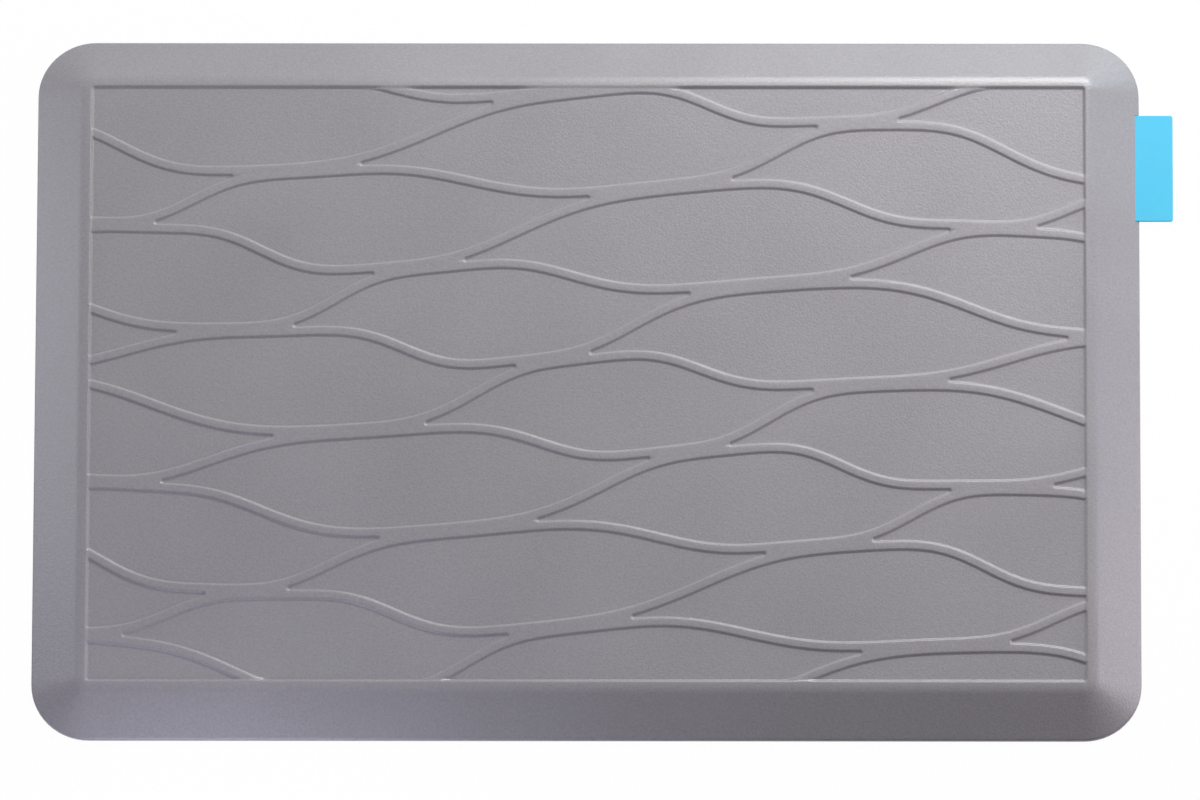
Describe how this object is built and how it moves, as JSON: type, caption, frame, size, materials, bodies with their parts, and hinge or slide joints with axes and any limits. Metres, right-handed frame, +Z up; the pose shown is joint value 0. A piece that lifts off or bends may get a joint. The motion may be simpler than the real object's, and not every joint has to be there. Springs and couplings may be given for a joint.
{
  "type": "standing mat",
  "caption": "Rectangular cushioned standing mat with a sloping rim, a recessed panel with wavy ribs, a foam core, a rubber underside and a soft tag that bends up at one edge.",
  "frame": {"origin": "on the floor, under the middle of the mat's own outline, without its tag", "axes": "+X along the mat's length, towards the edge with the tag; +Y towards the back edge, which the tag is nearer; +Z up"},
  "size_m": [0.7853, 0.508, 0.019],
  "materials": {
    "skin": "matte",
    "foam": "matte",
    "grip": "matte",
    "tag": "satin"
  },
  "bodies": {
    "mat": {"top_skin": "skin", "foam_core": "foam", "grip_sheet": "grip", "tag_tongue": "tag"},
    "tag": {"tag_flap": "tag"}
  },
  "joints": [
    {"name": "tag_flex", "type": "hinge", "parent": "mat", "child": "tag", "pos_m": [0.37941, 0.16175, 0.0034], "axis": [0, -1, 0], "range_deg": [-4, 90], "stiffness_Nm_per_rad": 0.02, "springref_deg": 1.78}
  ]
}
